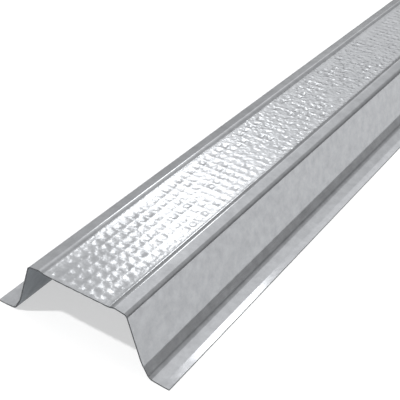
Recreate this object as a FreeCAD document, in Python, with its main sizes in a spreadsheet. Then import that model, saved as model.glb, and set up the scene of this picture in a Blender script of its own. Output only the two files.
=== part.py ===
# Hat channel: one length of thin galvanised sheet, roll-formed to a hat-shaped section.
# Frame: millimetres, +Z up, +Y along the stock, +X across it.
# Origin: middle of the length, on the centre line, at the level the flanges rest on.
import FreeCAD, Part
import math
import os
import Sketcher

doc = FreeCAD.newDocument("hat_channel_stock")

# Driving dimensions. Widths and heights of the section are taken on the upper face of the
# sheet, to the sharp corners where its flat stretches would meet without bends.
SIZES = [
    ("length", 3000, "cut length of the stock"),
    ("overall_width", 68, "flange edge to flange edge"),
    ("crest_height", 22, "floor to the ridges beside the knurled panel"),
    ("sheet_thickness", 0.5, "thickness of the sheet"),
    ("crown_width", 38, "across the web, shoulder to shoulder"),
    ("flange_width", 7.6, "foot corner to flange edge"),
    ("panel_width", 26.4, "flat, sunken knurled panel in the web"),
    ("panel_depth", 0.5, "drop from the ridges to the panel"),
    ("step_run", 1.3, "width of the slope between panel and ridge"),
    ("strip_fall", 0.62, "fall of the plain strip from ridge to shoulder"),
    ("step_radius", 0.5, "inside radius of both bends of the step"),
    ("shoulder_radius", 1, "inside radius between web and leg"),
    ("foot_radius", 4, "inside radius between leg and flange"),
]
sheet = doc.addObject("Spreadsheet::Sheet", "sizes")
for row, (alias, value, meaning) in enumerate(SIZES, start=1):
    sheet.set(f"A{row}", meaning)
    sheet.set(f"B{row}", str(value))
    sheet.setAlias(f"B{row}", alias)
doc.recompute()

# Fold corners of the right half of the section, from the centre line outwards.
# Each has its distance from the centre line, its height, its inside radius, and the face that
# lies inside the bend.
BENDS = [
    ("step_foot", "panel_width / 2", "crest_height - panel_depth", "step_radius", "upper"),
    ("step_crest", "panel_width / 2 + step_run", "crest_height", "step_radius", "lower"),
    ("shoulder", "crown_width / 2", "crest_height - strip_fall", "shoulder_radius", "lower"),
    ("foot", "overall_width / 2 - flange_width", "sheet_thickness", "foot_radius", "upper"),
]
FACES = ("upper", "lower")
# A constraint counts the points of a line or an arc up from one, and the sketch's own axes down
# from minus one. The origin is where the horizontal axis starts.
START, END, CENTRE = range(1, 4)
HORIZONTAL_AXIS, VERTICAL_AXIS = range(-1, -3, -1)
SKETCH_ORIGIN = (HORIZONTAL_AXIS, START)


def formula(text):
    """The text of an expression over the driving dimensions, with each one read from the sheet."""
    words = [f"sizes.{word}" if word.isidentifier() else word for word in text.split()]
    return " ".join(words)


def value_of(text):
    """Present value of a formula, used to place the sketch's geometry before it is solved."""
    return float(sheet.evalExpression(formula(text)))


def bend_radius(radius, inside, face):
    """Radius formula of one face of a bend: the outer face is one sheet thickness larger."""
    return radius if face == inside else f"{radius} + sheet_thickness"


def fillet_arc(before, corner, after, radius):
    """Arc of a given radius that rounds a corner, and its two end points in walking order."""
    way_in = (before - corner).normalize()
    way_out = (after - corner).normalize()
    half_angle = way_in.getAngle(way_out) / 2
    start = corner + way_in * (radius / math.tan(half_angle))
    end = corner + way_out * (radius / math.tan(half_angle))
    middle_line = (way_in + way_out).normalize()
    middle = corner + middle_line * (radius / math.sin(half_angle) - radius)
    return Part.Arc(start, middle, end), start, end


def offset_corner(before, corner, after, distance):
    """A corner of the sheet's lower face: the upper corner moved square to both its lines."""
    line_in = (corner - before).normalize()
    line_out = (after - corner).normalize()
    below_in = FreeCAD.Vector(line_in.y, -line_in.x)
    below_out = FreeCAD.Vector(line_out.y, -line_out.x)
    return corner + (below_in + below_out) * (distance / (1 + below_in.dot(below_out)))


def section_corners():
    """Corners of both faces, from the centre line to the flange edge."""
    bends = [FreeCAD.Vector(value_of(across), value_of(up)) for _, across, up, _, _ in BENDS]
    centre = FreeCAD.Vector(0, bends[0].y)
    edge = FreeCAD.Vector(value_of("overall_width / 2"), bends[-1].y)
    upper = [centre, *bends, edge]
    thickness = value_of("sheet_thickness")
    drop = FreeCAD.Vector(0, -thickness)
    inner = zip(upper, upper[1:], upper[2:])
    lower = [centre + drop, *(offset_corner(*trio, thickness) for trio in inner), edge + drop]
    return {"upper": upper, "lower": lower}


def bind(sketch, kind, name, places, text):
    """A named dimension of the sketch, driven by a formula over the sheet."""
    index = sketch.addConstraint(Sketcher.Constraint(kind, *places, value_of(text)))
    sketch.renameConstraint(index, name)
    sketch.setExpression(f"Constraints.{name}", formula(text))


def draw_face(sketch, face, corners):
    """One face of the section: straight stretches joined by tangent bends."""
    arcs = []
    ends = [corners[0]]
    for place, (_, _, _, radius, inside) in enumerate(BENDS, start=1):
        trio = corners[place - 1], corners[place], corners[place + 1]
        arc, start, end = fillet_arc(*trio, value_of(bend_radius(radius, inside, face)))
        arcs.append((sketch.addGeometry(arc), inside))
        ends += [start, end]
    ends.append(corners[-1])
    lines = []
    for start, end in zip(ends[::2], ends[1::2]):
        lines.append(sketch.addGeometry(Part.LineSegment(start, end)))
    for line_in, (arc, inside), line_out in zip(lines, arcs, lines[1:]):
        first, last = (START, END) if inside == "upper" else (END, START)
        sketch.addConstraint(Sketcher.Constraint("Tangent", line_in, END, arc, first))
        sketch.addConstraint(Sketcher.Constraint("Tangent", arc, last, line_out, START))
    for level in (lines[0], lines[-1]):
        sketch.addConstraint(Sketcher.Constraint("Horizontal", level))
    centre_end = (lines[0], START)
    sketch.addConstraint(Sketcher.Constraint("PointOnObject", *centre_end, VERTICAL_AXIS))
    for (arc, _), (bend, _, _, radius, inside) in zip(arcs, BENDS):
        bind(sketch, "Radius", f"{bend}_{face}_radius", (arc,), bend_radius(radius, inside, face))
    return lines, [arc for arc, _ in arcs]


def place_corners(sketch, corners, lines):
    """Dimensions of the upper face, given to the sharp corners between its flat stretches."""
    for place, (bend, across, up, _, _) in enumerate(BENDS, start=1):
        mark = (sketch.addGeometry(Part.Point(corners[place]), True), START)
        for line in (lines[place - 1], lines[place]):
            sketch.addConstraint(Sketcher.Constraint("PointOnObject", *mark, line))
        bind(sketch, "DistanceX", f"{bend}_across", (*SKETCH_ORIGIN, *mark), across)
        bind(sketch, "DistanceY", f"{bend}_height", (*SKETCH_ORIGIN, *mark), up)
    edge = (*SKETCH_ORIGIN, lines[-1], END)
    bind(sketch, "DistanceX", "edge_across", edge, "overall_width / 2")


def close_outline(sketch, corners, lines, end, point):
    """Line through the sheet's thickness that joins the two faces at one end of the outline."""
    faces = [corners[face][end] for face in FACES]
    closing = sketch.addGeometry(Part.LineSegment(*faces))
    for place, face in zip((START, END), FACES):
        joint = (closing, place, lines[face][end], point)
        sketch.addConstraint(Sketcher.Constraint("Coincident", *joint))
    return closing


def half_section(body):
    """Closed outline of the right half of the section, on the plane square to the length."""
    sketch = body.newObject("Sketcher::SketchObject", "half_section")
    sketch.AttachmentSupport = (origin_plane(body, "XZ_Plane"), [""])
    sketch.MapMode = "FlatFace"
    corners = section_corners()
    lines, arcs = {}, {}
    for face in FACES:
        lines[face], arcs[face] = draw_face(sketch, face, corners[face])
    place_corners(sketch, corners["upper"], lines["upper"])
    for upper_arc, lower_arc in zip(arcs["upper"], arcs["lower"]):
        centres = (upper_arc, CENTRE, lower_arc, CENTRE)
        sketch.addConstraint(Sketcher.Constraint("Coincident", *centres))
    close_outline(sketch, corners, lines, 0, START)
    slit_edge = close_outline(sketch, corners, lines, -1, END)
    sketch.addConstraint(Sketcher.Constraint("Vertical", slit_edge))
    if sketch.solve() != 0:
        raise RuntimeError("the section's dimensions contradict each other")
    return sketch


def origin_plane(body, role):
    """One of the body's own origin planes, found by its role."""
    return next(plane for plane in body.Origin.OriginFeatures if plane.Role == role)


def hat_channel():
    """The whole channel: half a section run along the length, and its mirror image."""
    body = doc.addObject("PartDesign::Body", "hat_channel")
    body.Label = "hat_channel"
    outline = half_section(body)
    half = body.newObject("PartDesign::Pad", "half_channel")
    half.Profile = outline
    half.SideType = "Symmetric"
    half.setExpression("Length", formula("length"))
    whole = body.newObject("PartDesign::Mirrored", "whole_channel")
    whole.Originals = [half]
    whole.MirrorPlane = (origin_plane(body, "YZ_Plane"), [""])
    body.Tip = whole
    return body


pieces = [hat_channel()]
doc.recompute()

for item in doc.Objects:
    if "Invalid" in item.State or "Error" in item.State:
        raise RuntimeError(f"{item.Label} failed to compute")
for piece in pieces:
    if piece.Shape.isNull() or not piece.Shape.isValid():
        raise RuntimeError(f"{piece.Label} has no valid shape")

os.makedirs("parts", exist_ok=True)
for piece in pieces:
    piece.Shape.exportStep(f"parts/{piece.Label}.step")
    box = piece.Shape.BoundBox
    print(f"{piece.Label}: {box.XLength:.2f} x {box.YLength:.2f} x {box.ZLength:.2f} mm,",
          f"{piece.Shape.Volume / 1000:.1f} cubic cm, {len(piece.Shape.Solids)} solid,",
          f"{len(piece.Shape.Faces)} faces")
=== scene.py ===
# %% [markdown]
# # A galvanised hat channel
# This lesson dresses one length of hat channel: thin zinc-coated sheet, roll-formed to a hat-shaped
# section, with a knurled panel along its top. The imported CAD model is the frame. Everything is made in
# its metres, with +Y along the stock and +Z up, so nothing has to be fitted afterwards.

# %% Load the frame
import bmesh
import bpy
import math
from mathutils import Matrix, Vector, noise


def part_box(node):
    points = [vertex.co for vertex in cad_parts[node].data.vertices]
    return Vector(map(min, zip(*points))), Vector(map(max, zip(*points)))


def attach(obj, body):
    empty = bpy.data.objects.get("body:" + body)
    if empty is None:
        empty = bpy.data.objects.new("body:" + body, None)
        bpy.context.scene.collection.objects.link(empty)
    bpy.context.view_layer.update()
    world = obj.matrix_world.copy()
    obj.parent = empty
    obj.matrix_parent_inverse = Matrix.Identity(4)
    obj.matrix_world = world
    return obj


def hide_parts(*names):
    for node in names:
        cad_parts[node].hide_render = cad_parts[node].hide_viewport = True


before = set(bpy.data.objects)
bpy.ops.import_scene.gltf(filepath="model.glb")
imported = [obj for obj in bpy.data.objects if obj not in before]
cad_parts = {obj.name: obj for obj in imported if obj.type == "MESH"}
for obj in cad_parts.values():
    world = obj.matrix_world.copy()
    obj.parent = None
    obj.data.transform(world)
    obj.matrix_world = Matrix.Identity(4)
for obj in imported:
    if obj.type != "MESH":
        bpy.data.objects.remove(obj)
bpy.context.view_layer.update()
low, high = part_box("hat_channel")
MM = 0.001
print("CAD box", [round(size / MM, 2) for size in high - low], "mm")

# %% [markdown]
# ## The section
# A roll former bends flat strip a little at each pair of rolls. The folds are easiest to describe as
# sharp corners on the upper face of the sheet, which are rounded later. Each corner has its distance
# from the centre line and its height, for the right half, and the corners run from the panel outwards;
# the left half is the same with x turned round. Width, length and floor level come from the CAD box, so
# the sheet can't grow out of it. Only the ridge's corner stands a hair above the box, because rounding
# it takes more than that away again.

# %% Section sizes
half_width = high.x
half_length = high.y
sheet_thickness = 0.5 * MM
panel_height = 21.35 * MM
flange_height = low.z + sheet_thickness

dish = Vector((12 * MM, panel_height + 0.05 * MM))
step_foot = Vector((12.85 * MM, panel_height + 0.15 * MM))
step_head = Vector((13.8 * MM, panel_height + 0.48 * MM))
ridge = Vector((14.5 * MM, high.z + 0.015 * MM))
shoulder = Vector((19.05 * MM, 21.39 * MM))
knee = Vector((24.27 * MM, flange_height + 4.95 * MM))
foot = Vector((27 * MM, flange_height + 0.35 * MM))
lip = Vector((31.5 * MM, flange_height))
flange_edge = Vector((half_width, flange_height))
print("panel", round(panel_height / MM, 2), "mm up, ridges", round(ridge.y / MM, 2), "mm up")

# %% [markdown]
# ## One dimple of the knurl
# The rolls press rows of small dimples into the panel, so that a screw tip catches instead of
# wandering. A bump texture would do for one picture, but the dimples catch the light as separate
# sparks, show as bumps underneath and are cut through at the ends of the stock, so they are real
# geometry. One tile is enough: a disc of eight triangles for the dent, bridged to the square it sits
# in. Its walls are shaded smooth later, which makes eight facets look like a round, soft dent.

# %% Dimple tile
pitch_across = 3.7 * MM
pitch_along = 3.75 * MM
dimple_radius = 1.25 * MM
dimple_sides = 8


def draw_dimple(sheet):
    """One tile of the panel, still flat, with the disc of a dent in its middle."""
    bmesh.ops.create_circle(
        sheet, cap_ends=True, cap_tris=True, segments=dimple_sides, radius=dimple_radius
    )
    turn = Matrix.Rotation(math.pi / dimple_sides, 3, "Z")
    bmesh.ops.rotate(sheet, verts=sheet.verts[:], cent=(0, 0, 0), matrix=turn)
    rim = [edge for edge in sheet.edges if edge.is_boundary]
    square = Matrix.Diagonal((pitch_across, pitch_along, 1, 1))
    corners = bmesh.ops.create_grid(sheet, x_segments=1, y_segments=1, size=0.5, matrix=square)["verts"]
    border = list(dict.fromkeys(edge for corner in corners for edge in corner.link_edges))
    bmesh.ops.delete(sheet, geom=corners[0].link_faces[:], context="FACES_ONLY")
    bmesh.ops.bridge_loops(sheet, edges=rim + border)


sheet = bmesh.new()
draw_dimple(sheet)
print("dimple tile:", len(sheet.faces), "faces")

# %% [markdown]
# ## The knurled panel
# The tile is repeated six times across and some eight hundred times along. Spin with no angle and a
# step vector is an array: first a row, then a block of rows, then blocks along the length, because a
# few large steps are much quicker than many small ones. The panel is made a little too long, so that
# it can be cut at both ends like the real stock.

# %% Array
columns = 6
rows_in_block = 27
blocks = 30
first_row = 2.7 * MM
tolerance = 0.001 * MM


def repeat(sheet, step, times):
    """Copies all of the sheet so far a number of times, each one step further, and welds the seams."""
    everything = sheet.verts[:] + sheet.edges[:] + sheet.faces[:]
    bmesh.ops.spin(
        sheet, geom=everything, cent=(0, 0, 0), axis=(0, 0, 1), dvec=step, angle=0,
        steps=times - 1, use_duplicate=True,
    )
    bmesh.ops.remove_doubles(sheet, verts=sheet.verts[:], dist=tolerance)


repeat(sheet, (pitch_across, 0, 0), columns)
repeat(sheet, (0, pitch_along, 0), rows_in_block)
repeat(sheet, (0, pitch_along * rows_in_block, 0), blocks)
knurl_half = columns * pitch_across / 2
corner_dimple = Vector((pitch_across / 2 - knurl_half, first_row - pitch_along - half_length, panel_height))
bmesh.ops.translate(sheet, verts=sheet.verts[:], vec=corner_dimple)
print("knurl:", len(sheet.faces), "faces before the cut")

# %% [markdown]
# ## Pressing the dimples in
# Every dent's middle is the one point where only its own walls meet. It is pushed down by the dimple's
# depth and strays a little sideways. Strip is wavy and rolls wear, so no two dents are alike: each depth
# is multiplied by e to a random power, which leaves some dents faint and makes others deep. The roll is
# worn on one side, so once in each of its turns the dents come out more uneven. The random numbers are
# noise at the dent's own place, so every run gives the same sheet.

# %% Press the dimples
dimple_depth = 0.22 * MM
deepest = 0.6 * MM
stray = 0.4 * MM
even_spread = 1
worn_spread = 2.2
roll_turn = 320 * MM
patch_size = 2.3 * MM
depth_layer, across_layer, along_layer = (layer + 0.5 for layer in range(3))


def chance(place, layer):
    """A random number, from about -0.5 to 0.5, that belongs to a place; each layer has its own."""
    return noise.noise(Vector((place.x / patch_size, place.y / patch_size, layer)))


def wear(place):
    """How worn the roll was that pressed this place: 0 to 1 and back in each of its turns."""
    turned = 2 * math.pi * (place.y - low.y) / roll_turn
    return (0.5 - math.cos(turned) / 2) ** 2


dimples = 0
for point in sheet.verts:
    if len(point.link_edges) == dimple_sides == len(point.link_faces):
        spread = even_spread + worn_spread * wear(point.co)
        depth = min(deepest, dimple_depth * math.exp(spread * chance(point.co, depth_layer)))
        aside = stray * chance(point.co, across_layer)
        ahead = stray * chance(point.co, along_layer)
        point.co += Vector((aside, ahead, -depth))
        dimples += 1
print(dimples, "dimples pressed")

# %% [markdown]
# ## Cutting to length
# A shear cuts the running stock without minding where the knurl is. Bisect with its outer side cleared
# does the same: the cut runs straight through the dimples wherever it falls.

# %% Cut
cut_tolerance = 0.0001 * MM

for end in (-1, 1):
    everything = sheet.verts[:] + sheet.edges[:] + sheet.faces[:]
    bmesh.ops.bisect_plane(
        sheet, geom=everything, dist=cut_tolerance, plane_co=(0, end * half_length, 0),
        plane_no=(0, end, 0), clear_outer=True,
    )
print("panel cut to", round(2 * half_length, 3), "m,", len(sheet.faces), "faces")

# %% [markdown]
# ## Folding the sheet
# From the panel's long sides the sheet goes on as flat stretches: a slightly hollow margin, the step up
# to the ridge, the plain strip, the leg, its flatter end below a faint knee, and the flange with a level
# lip. Each is the last edge extruded to the next corner. The first fold line loses its many points, so
# that the stretches beyond it are single faces.

# %% Flat stretches
fold_corners = [dish, step_foot, step_head, ridge, shoulder, knee, foot, lip, flange_edge]


def on_line(edge, across):
    """True for an edge that runs along the stock at this distance from the centre line, on either side."""
    return all(abs(abs(point.co.x) - across) < tolerance for point in edge.verts)


def stretch(sheet, across, corner):
    """Extrudes the open edges at one distance from the centre line, on both sides, to the next corner."""
    edges = [edge for edge in sheet.edges if edge.is_boundary and on_line(edge, across)]
    made = bmesh.ops.extrude_edge_only(sheet, edges=edges)["geom"]
    points = [item for item in made if isinstance(item, bmesh.types.BMVert)]
    for side in (-1, 1):
        here = [point for point in points if point.co.x * side > 0]
        move = Vector((side * (corner.x - across), 0, corner.y - here[0].co.z))
        bmesh.ops.translate(sheet, verts=here, vec=move)
    return points


margin_points = stretch(sheet, knurl_half, dish)
spare = [point for point in margin_points if abs(point.co.y) < half_length - tolerance]
bmesh.ops.dissolve_verts(sheet, verts=spare)
for corner, next_corner in zip(fold_corners, fold_corners[1:]):
    stretch(sheet, corner.x, next_corner)
print("folded sheet:", len(sheet.faces), "faces")

# %% [markdown]
# ## Rounding the folds
# Sheet never folds sharp: it bends over a radius. Bevel with a round profile turns each fold line into
# an arc. Its offset is the distance from the corner to where the arc starts, which is the radius times
# the tangent of half the turn. Where the upper face is outside the bend, its radius is one sheet
# thickness larger than the inside radius that the tooling gives. Each line below names a corner, the
# radius of its upper face and the number of steps in the arc.

# %% Bends
folds = [
    (dish, 4 * MM, 3),
    (step_foot, 0.35 * MM, 4),
    (step_head, 4 * MM + sheet_thickness, 6),
    (ridge, 0.8 * MM + sheet_thickness, 8),
    (shoulder, 1.3 * MM + sheet_thickness, 12),
    (knee, 12 * MM, 6),
    (foot, 1.8 * MM, 12),
    (lip, 3 * MM, 3),
]
for corner, radius, segments in folds:
    lines = [edge for edge in sheet.edges if not edge.is_boundary and on_line(edge, corner.x)]
    turn = lines[0].calc_face_angle()
    bmesh.ops.bevel(
        sheet, geom=lines, offset=radius * math.tan(turn / 2), offset_type="OFFSET",
        segments=segments, profile=0.5, affect="EDGES", material=-1,
    )
    print("fold at", round(corner.x / MM, 2), "mm turns", round(math.degrees(turn), 1), "degrees")

# %% [markdown]
# ## Giving the sheet its thickness
# So far the sheet is only its upper face. Solidify adds the lower face half a millimetre under it and
# closes the cut ends and slit edges, so the dimples show as small bumps underneath, as pressed sheet
# does. The normals are set straight first; the margin, the face with the most corners, tells which way
# is up. At a cut through a dimple the lower face leans out of the end by a few hundredths of a
# millimetre, and is pushed back flush.

# %% Thickness
bmesh.ops.recalc_face_normals(sheet, faces=sheet.faces[:])
margin = max(sheet.faces, key=lambda face: len(face.verts))
if margin.normal.z < 0:
    bmesh.ops.reverse_faces(sheet, faces=sheet.faces[:])
bmesh.ops.solidify(sheet, geom=sheet.faces[:], thickness=sheet_thickness)
for point in sheet.verts:
    point.co.x = max(-half_width, min(half_width, point.co.x))
    point.co.y = max(-half_length, min(half_length, point.co.y))
    point.co.z = max(low.z, point.co.z)
triangles = sum(len(face.verts) - 2 for face in sheet.faces)
open_edges = sum(not edge.is_manifold for edge in sheet.edges)
cubic_cm = (10 * MM) ** 3
print("sheet:", triangles, "triangles,", open_edges, "open edges,",
      round(sheet.calc_volume() / cubic_cm, 1), "cubic cm")

# %% [markdown]
# ## From working mesh to piece
# Faces that look along the stock are the sheared ends, and faces that look straight out sideways are the
# slit edges; both show bare steel. Faces that look down get a darker, rougher zinc; its darker tone is
# painted shade for the inside of the channel. Everything is shaded smooth, with hard lines only where the
# sheet turns sharply, at its cut edges. A Weighted Normal modifier lets the broad flat stretches keep
# their own direction, so a flat leg mirrors like a flat leg and only the bends look bent. A vertex group
# keeps it off the knurl, whose dents stay soft.

# %% Piece
zinc_slot, sheared_slot, underside_shade_slot = range(3)
hard_angle = math.radians(40)
end_facing = 0.9
slit_facing = 0.99

for face in sheet.faces:
    face.smooth = True
    sheared = abs(face.normal.y) > end_facing or abs(face.normal.x) > slit_facing
    # Faces that look down get the darker underside material: painted shade inside the channel.
    zinc_or_underside_shade = underside_shade_slot if face.normal.z < 0 else zinc_slot
    face.material_index = sheared_slot if sheared else zinc_or_underside_shade
for edge in sheet.edges:
    if edge.calc_face_angle() > hard_angle:
        edge.smooth = False
mesh = bpy.data.meshes.new("galvanised_sheet")
sheet.to_mesh(mesh)
sheet.free()
channel = bpy.data.objects.new("galvanised_sheet", mesh)
bpy.context.collection.objects.link(channel)
plain = channel.vertex_groups.new(name="plain_sheet")
beside_knurl = [point.index for point in mesh.vertices if abs(point.co.x) > knurl_half + tolerance]
plain.add(beside_knurl, 1, "REPLACE")
even_flats = channel.modifiers.new("even_flats", "WEIGHTED_NORMAL")
even_flats.vertex_group = plain.name
even_flats.weight = 100
even_flats.keep_sharp = True
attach(channel, "root")
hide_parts("hat_channel")
print("piece:", len(mesh.vertices), "points,", len(mesh.polygons), "faces")

# %% [markdown]
# ## Helpers for materials
# Colours are easiest to read as the sRGB hex values that a colour picker shows, but shaders work in
# linear light, so one function converts them by the sRGB standard's own formula. Another adds a node,
# sets its sockets and properties, and links it, which keeps a material's recipe short enough to read.
# The third starts an empty material.

# %% Material helpers
def linear(hex_colour):
    """An sRGB hex colour as the linear RGBA that shader sockets take."""
    parts = [int(hex_colour[place:place + 2], 16) / 255 for place in (1, 3, 5)]
    return [part / 12.92 if part <= 0.04045 else ((part + 0.055) / 1.055) ** 2.4 for part in parts] + [1]


def add_node(tree, kind, inputs=None, **settings):
    """A shader node with its settings; an input is a value, or an output socket to link."""
    node = tree.nodes.new(kind)
    for name, value in settings.items():
        setattr(node, name, value)
    for name, value in (inputs or {}).items():
        if isinstance(value, bpy.types.NodeSocket):
            tree.links.new(value, node.inputs[name])
        else:
            node.inputs[name].default_value = value
    return node


def new_material(name):
    """A node material with an empty tree."""
    material = bpy.data.materials.new(name)
    material.use_nodes = True
    tree = material.node_tree
    tree.nodes.clear()
    return material, tree


print("white is", linear("#FFFFFF"))

# %% [markdown]
# ## Galvanised steel
# The strip was dipped in molten zinc and then rolled smooth. It is bright enough to mirror its own
# folds, but a thin grey oxide film scatters part of the light, so to the eye it is about two thirds
# metal. The zinc froze in crystals, the spangle, which differ slightly in tone and gloss; on rolled
# sheet they are a few millimetres wide. The pressed panel is duller than the plain sheet beside it.

# %% Galvanised steel colour and gloss
spangle_size = 4 * MM
zinc_tones = {0.3: "#A9ABAE", 0.7: "#C2C4C7"}
glossiest, dullest = 0.1, 0.15
knurl_dullness = 0.09
knurl_border = 0.3 * MM

zinc, tree = new_material("galvanised_steel")
place = add_node(tree, "ShaderNodeTexCoord").outputs["Object"]
spangle = add_node(tree, "ShaderNodeTexNoise", {
    "Vector": place, "Scale": 1 / spangle_size, "Detail": 7, "Roughness": 0.75})
colour = add_node(tree, "ShaderNodeValToRGB", {"Fac": spangle.outputs["Fac"]})
for stop, (level, tone) in zip(colour.color_ramp.elements, zinc_tones.items()):
    stop.position = level
    stop.color = linear(tone)
gloss = add_node(tree, "ShaderNodeMapRange", {
    "Value": spangle.outputs["Fac"], "From Min": min(zinc_tones), "From Max": max(zinc_tones),
    "To Min": glossiest, "To Max": dullest})
axes = add_node(tree, "ShaderNodeSeparateXYZ", {"Vector": place})
from_middle = add_node(tree, "ShaderNodeMath", {0: axes.outputs["X"]}, operation="ABSOLUTE")
knurled = add_node(tree, "ShaderNodeMapRange", {
    "Value": from_middle.outputs[0], "From Min": step_foot.x - knurl_border, "From Max": step_foot.x,
    "To Min": 1, "To Max": 0})
dull = add_node(tree, "ShaderNodeMath", {
    0: knurled.outputs["Result"], 1: knurl_dullness, 2: gloss.outputs["Result"]}, operation="MULTIPLY_ADD")
print("galvanised steel so far:", len(tree.nodes), "nodes")

# %% [markdown]
# ## Relief of the zinc
# No sheet is quite flat: a very low, long waviness keeps the mirrored room from being perfectly straight.
# In the panel, pressing also creases the zinc between the dimples. The creases are too fine to model, so
# they are a bump, and drawn coarser than real ones so that they show at all. They are deeper where the
# worn side of the roll came round, and break the mirrored light into sparks there. Ping-pong counts up
# and down again along the length, once in each turn of the roll.

# %% Galvanised steel relief
wave_size = 35 * MM
wave_height = 0.05 * MM
crease_size = 1.8 * MM
even_crease = 0.08 * MM
worn_crease = 0.3 * MM
wear_starts = 0.25 * roll_turn
wear_full = 0.4 * roll_turn
metal_share = 0.65

waves = add_node(tree, "ShaderNodeTexNoise", {"Vector": place, "Scale": 1 / wave_size, "Detail": 1})
ripple = add_node(tree, "ShaderNodeBump", {
    "Height": waves.outputs["Fac"], "Strength": 1, "Distance": wave_height})
creases = add_node(tree, "ShaderNodeTexNoise", {"Vector": place, "Scale": 1 / crease_size, "Detail": 1})
from_end = add_node(tree, "ShaderNodeMath", {0: axes.outputs["Y"], 1: low.y}, operation="SUBTRACT")
turned_by = add_node(tree, "ShaderNodeMath", {
    0: from_end.outputs[0], 1: roll_turn / 2}, operation="PINGPONG")
crease_depth = add_node(tree, "ShaderNodeMapRange", {
    "Value": turned_by.outputs[0], "From Min": wear_starts, "From Max": wear_full,
    "To Min": even_crease, "To Max": worn_crease}, interpolation_type="SMOOTHSTEP")
creased = add_node(tree, "ShaderNodeMath", {
    0: creases.outputs["Fac"], 1: crease_depth.outputs["Result"]}, operation="MULTIPLY")
pressed = add_node(tree, "ShaderNodeMath", {
    0: creased.outputs[0], 1: knurled.outputs["Result"]}, operation="MULTIPLY")
crinkle = add_node(tree, "ShaderNodeBump", {
    "Height": pressed.outputs[0], "Strength": 1, "Distance": 1, "Normal": ripple.outputs["Normal"]})
surface = add_node(tree, "ShaderNodeBsdfPrincipled", {
    "Base Color": colour.outputs["Color"], "Roughness": dull.outputs[0], "Metallic": metal_share,
    "Normal": crinkle.outputs["Normal"]})
add_node(tree, "ShaderNodeOutputMaterial", {"Surface": surface.outputs["BSDF"]})
mesh.materials.append(zinc)
print("galvanised steel:", len(tree.nodes), "nodes")

# %% [markdown]
# ## Sheared steel
# Where the strip was slit and the stock was cut off, the shear leaves a torn, dull face of bare steel
# between two thin lips of zinc. At half a millimetre it only shows as a dark line round the end, so a
# dark, rough metal with some mottling is enough. The recipe is a function, because the lower side of
# the sheet needs the same one with other sizes and tones.

# %% Sheared steel material
tear_size = 0.8 * MM
tear_tones = {0.35: "#3F4245", 0.65: "#5E6164"}
dull_metal_share = 0.6


def mottled_metal(name, patch, detail, tones, smoothest, roughest):
    """A dull metal with patches of a size; each tone has the level of the noise that it belongs to."""
    material, tree = new_material(name)
    place = add_node(tree, "ShaderNodeTexCoord").outputs["Object"]
    mottle = add_node(tree, "ShaderNodeTexNoise", {"Vector": place, "Scale": 1 / patch, "Detail": detail})
    colour = add_node(tree, "ShaderNodeValToRGB", {"Fac": mottle.outputs["Fac"]})
    for stop, (level, tone) in zip(colour.color_ramp.elements, tones.items()):
        stop.position = level
        stop.color = linear(tone)
    rough = add_node(tree, "ShaderNodeMapRange", {
        "Value": mottle.outputs["Fac"], "To Min": smoothest, "To Max": roughest})
    surface = add_node(tree, "ShaderNodeBsdfPrincipled", {
        "Base Color": colour.outputs["Color"], "Roughness": rough.outputs["Result"],
        "Metallic": dull_metal_share})
    add_node(tree, "ShaderNodeOutputMaterial", {"Surface": surface.outputs["BSDF"]})
    return material


bare = mottled_metal("sheared_steel", tear_size, detail=2, tones=tear_tones, smoothest=0.4, roughest=0.6)
mesh.materials.append(bare)
print("sheared steel:", len(bare.node_tree.nodes), "nodes")

# %% [markdown]
# ## Painted shade underneath
# The lower face of the sheet gets a darker grey than the upper one. That darker tone is painted shade: it
# makes the inside of the channel look dark. The lower face is also rougher, so it does not mirror the
# floor.

# %% Underside material with painted shade
underside_mottle_size = 3 * MM
# The underside's darker tones are painted shade; the mottle between them is the zinc's own.
underside_shade_tones = {0.3: "#868B90", 0.7: "#969BA0"}

underside_shade = mottled_metal("underside_zinc_with_painted_shade", underside_mottle_size, detail=3, tones=underside_shade_tones, smoothest=0.45, roughest=0.6)
mesh.materials.append(underside_shade)
print("dull zinc:", len(underside_shade.node_tree.nodes), "nodes")

# %% [markdown]
# ## A white floor
# The stock lies on a plain white table, a wide disc a hair under the flanges. White paper comes out a
# little grey under soft light, so the floor also glows. A Light Path node keeps that glow to what is
# seen directly or in the metal: it lights nothing, and the shadow of the channel stays.

# %% Floor
floor_radius = 200
floor_sides = 64
floor_gap = 0.05 * MM
floor_glow = 0.54

ground = bmesh.new()
bmesh.ops.create_circle(ground, cap_ends=True, segments=floor_sides, radius=floor_radius)
bmesh.ops.translate(ground, verts=ground.verts[:], vec=(0, 0, low.z - floor_gap))
floor_mesh = bpy.data.meshes.new("floor")
ground.to_mesh(floor_mesh)
ground.free()
floor = bpy.data.objects.new("floor", floor_mesh)
bpy.context.collection.objects.link(floor)

paper, tree = new_material("white_floor")
rays = add_node(tree, "ShaderNodeLightPath")
mirrored = add_node(tree, "ShaderNodeMath", {
    0: rays.outputs["Is Glossy Ray"], 1: rays.outputs["Is Transmission Ray"]}, operation="MAXIMUM")
seen = add_node(tree, "ShaderNodeMath", {
    0: rays.outputs["Is Camera Ray"], 1: mirrored.outputs[0]}, operation="MAXIMUM")
glow = add_node(tree, "ShaderNodeMath", {0: seen.outputs[0], 1: floor_glow}, operation="MULTIPLY")
surface = add_node(tree, "ShaderNodeBsdfPrincipled", {
    "Base Color": linear("#BBBBBB"), "Roughness": 0.9, "Specular IOR Level": 0,
    "Emission Color": linear("#FFFFFF"), "Emission Strength": glow.outputs[0]})
add_node(tree, "ShaderNodeOutputMaterial", {"Surface": surface.outputs["BSDF"]})
floor_mesh.materials.append(paper)
print("floor:", 2 * floor_radius, "m across")

# %% [markdown]
# ## Directions in the studio
# Metal looks like what it mirrors, so the light is planned as a room round the channel. Where a thing
# stands in it is easiest to say as a photographer does: so many degrees up, and so many degrees round.

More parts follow.
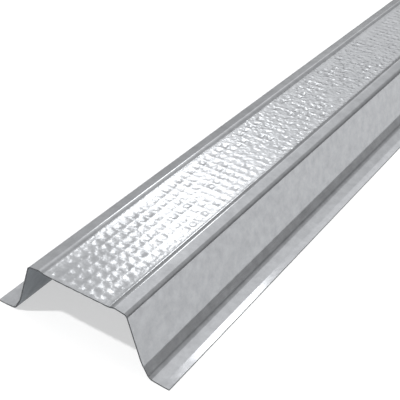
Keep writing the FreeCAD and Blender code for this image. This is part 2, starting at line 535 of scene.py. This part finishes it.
# %% Directions
def towards(elevation, azimuth):
    """Unit vector at an elevation above the floor and an azimuth from +Y, positive towards +X."""
    up = math.radians(elevation)
    round_z = math.radians(azimuth)
    return Vector((math.sin(round_z) * math.cos(up), math.cos(round_z) * math.cos(up), math.sin(up)))


print("up, behind and to the left is", [round(part, 2) for part in towards(45, -45)])

# %% [markdown]
# ## The walls of the room
# A room without objects is a world shader that looks at the direction of each ray. Its walls are dark
# near the floor and light above, and dimmer at the front, where the camera stands. A white strip along
# the horizon carries the white floor on to the walls. Each of the three is a smooth step between two
# directions.

# %% Walls
wall_below, wall_above = 0.16, 0.72
wall_starts, wall_ends = towards(10, 0).z, towards(40, 0).z
front_share = 0.45
front_starts, front_ends = 0.2, -0.5
strip_starts, strip_ends = towards(3, 0).z, towards(5, 0).z

room = bpy.data.worlds.new("studio")
bpy.context.scene.world = room
room.use_nodes = True
tree = room.node_tree
tree.nodes.clear()
look = add_node(tree, "ShaderNodeTexCoord").outputs["Generated"]
axes = add_node(tree, "ShaderNodeSeparateXYZ", {"Vector": look})
walls = add_node(tree, "ShaderNodeMapRange", {
    "Value": axes.outputs["Z"], "From Min": wall_starts, "From Max": wall_ends,
    "To Min": wall_below, "To Max": wall_above}, interpolation_type="SMOOTHSTEP")
front = add_node(tree, "ShaderNodeMapRange", {
    "Value": axes.outputs["Y"], "From Min": front_ends, "From Max": front_starts,
    "To Min": front_share, "To Max": 1}, interpolation_type="SMOOTHSTEP")
strip = add_node(tree, "ShaderNodeMapRange", {
    "Value": axes.outputs["Z"], "From Min": strip_starts, "From Max": strip_ends,
    "To Min": 1, "To Max": 0}, interpolation_type="SMOOTHSTEP")
print("room so far:", len(tree.nodes), "nodes")

# %% [markdown]
# ## Patches on the walls
# Round patches give the metal its bright and dark lines. Behind the channel, to the left, stands a pale
# patch for the panel, with a softer halo above it for the flange. On the right a shaded patch draws the
# dark lines of the steps, and a dark flag low down draws the one at the foot of the leg. A patch is a
# function, because four are needed: it compares the ray's direction with the patch's centre. The dark
# ones multiply the light of the walls, and the pale ones add to it.

# %% Patches
def wall_patch(centre, edge, core, outside, inside):
    """A number that goes smoothly from outside to inside a round patch; edge and core are in degrees."""
    facing = add_node(tree, "ShaderNodeVectorMath", {0: look, 1: centre}, operation="DOT_PRODUCT")
    patch = add_node(tree, "ShaderNodeMapRange", {
        "Value": facing.outputs["Value"], "From Min": math.cos(math.radians(edge)),
        "From Max": math.cos(math.radians(core)), "To Min": outside, "To Max": inside},
        interpolation_type="SMOOTHSTEP")
    return patch.outputs["Result"]


shade = wall_patch(towards(42, 22), edge=34, core=17, outside=1, inside=0.48)
pale_wall = wall_patch(towards(25.7, -23.5), edge=13, core=2, outside=0, inside=0.64)
halo = wall_patch(towards(46, -20), edge=15, core=4, outside=0, inside=0.3)
flag = wall_patch(towards(8, 45), edge=24, core=10, outside=1, inside=0.2)

light = walls.outputs["Result"]
for operation, part in (
    ("MULTIPLY", shade),
    ("MULTIPLY", front.outputs["Result"]),
    ("ADD", pale_wall),
    ("ADD", halo),
    ("MAXIMUM", strip.outputs["Result"]),
    ("MULTIPLY", flag),
):
    light = add_node(tree, "ShaderNodeMath", {0: light, 1: part}, operation=operation).outputs[0]
backdrop = add_node(tree, "ShaderNodeBackground", {"Color": linear("#FFFFFF"), "Strength": light})
add_node(tree, "ShaderNodeOutputWorld", {"Surface": backdrop.outputs["Background"]})
print("room:", len(tree.nodes), "nodes")

# %% [markdown]
# ## Lamps
# The key is a sun lamp, high at the front left, so it lights all three metres alike and throws a crisp
# shadow into the open end. The softbox is a tall oval area lamp that leans to the right, aimed at the
# near end; the panel and the flange's lip mirror it as their white patches. Its power is worked out from
# how bright its face should look in the metal.

# %% Lamps
key_strength = 2.3
key_width = math.radians(3)
key_distance = 3
softbox_face = 4
softbox_width = 0.27
softbox_height = 0.42
softbox_lean = math.radians(23)
softbox_distance = 1.6
softbox_aim = Vector((0, low.y + 45 * MM, panel_height))


def add_lamp(name, kind, seen_at, place, lean=0):
    """A lamp at a place, shining against the direction it is seen in, its top leaning to the right."""
    lamp = bpy.data.objects.new(name, bpy.data.lights.new(name, kind))
    upright = seen_at.to_track_quat("Z", "Y").to_matrix()
    lamp.rotation_euler = (upright @ Matrix.Rotation(lean, 3, "Z")).to_euler()
    lamp.location = place
    bpy.context.collection.objects.link(lamp)
    return lamp


key_from = towards(67, -152)
key = add_lamp("key", "SUN", key_from, key_from * key_distance)
key.data.energy = key_strength
key.data.angle = key_width

softbox_from = towards(38.4, -32.2)
softbox_place = softbox_aim + softbox_from * softbox_distance
softbox = add_lamp("softbox", "AREA", softbox_from, softbox_place, softbox_lean)
softbox.data.shape = "ELLIPSE"
softbox.data.size = softbox_width
softbox.data.size_y = softbox_height
softbox_area = math.pi * softbox_width * softbox_height / 4
softbox.data.energy = softbox_face * math.pi * softbox_area
softbox.visible_camera = False
print("softbox:", round(softbox.data.energy, 2), "W at", [round(part, 2) for part in softbox.location])

# %% [markdown]
# ## Camera
# The photograph looks down on the near end from the right, close enough for the channel to fill the
# frame and run out of it. The camera's place and directions are measured from the near end of the
# stock; the lens follows from how fast the far part shrinks.

# %% Camera
eye = Vector((133.40 * MM, low.y - 141.64 * MM, 185.51 * MM))
view_line = Vector((-0.44621, 0.69504, -0.56376)).normalized()
picture_right = Vector((0.83072, 0.55598, 0.02794)).normalized()
picture_up = picture_right.cross(view_line)
sensor_width = 36
focal_length = 76.55
nearest, farthest = 0.01, 500

lens = bpy.data.cameras.new("camera")
lens.sensor_width = sensor_width
lens.lens = focal_length
lens.clip_start = nearest
lens.clip_end = farthest
camera = bpy.data.objects.new("camera", lens)
camera.matrix_world = Matrix((picture_right, picture_up, -view_line)).transposed().to_4x4()
camera.location = eye
bpy.context.collection.objects.link(camera)
bpy.context.scene.camera = camera
bpy.context.scene.view_settings.view_transform = "Standard"
print("camera at", [round(part, 3) for part in eye])
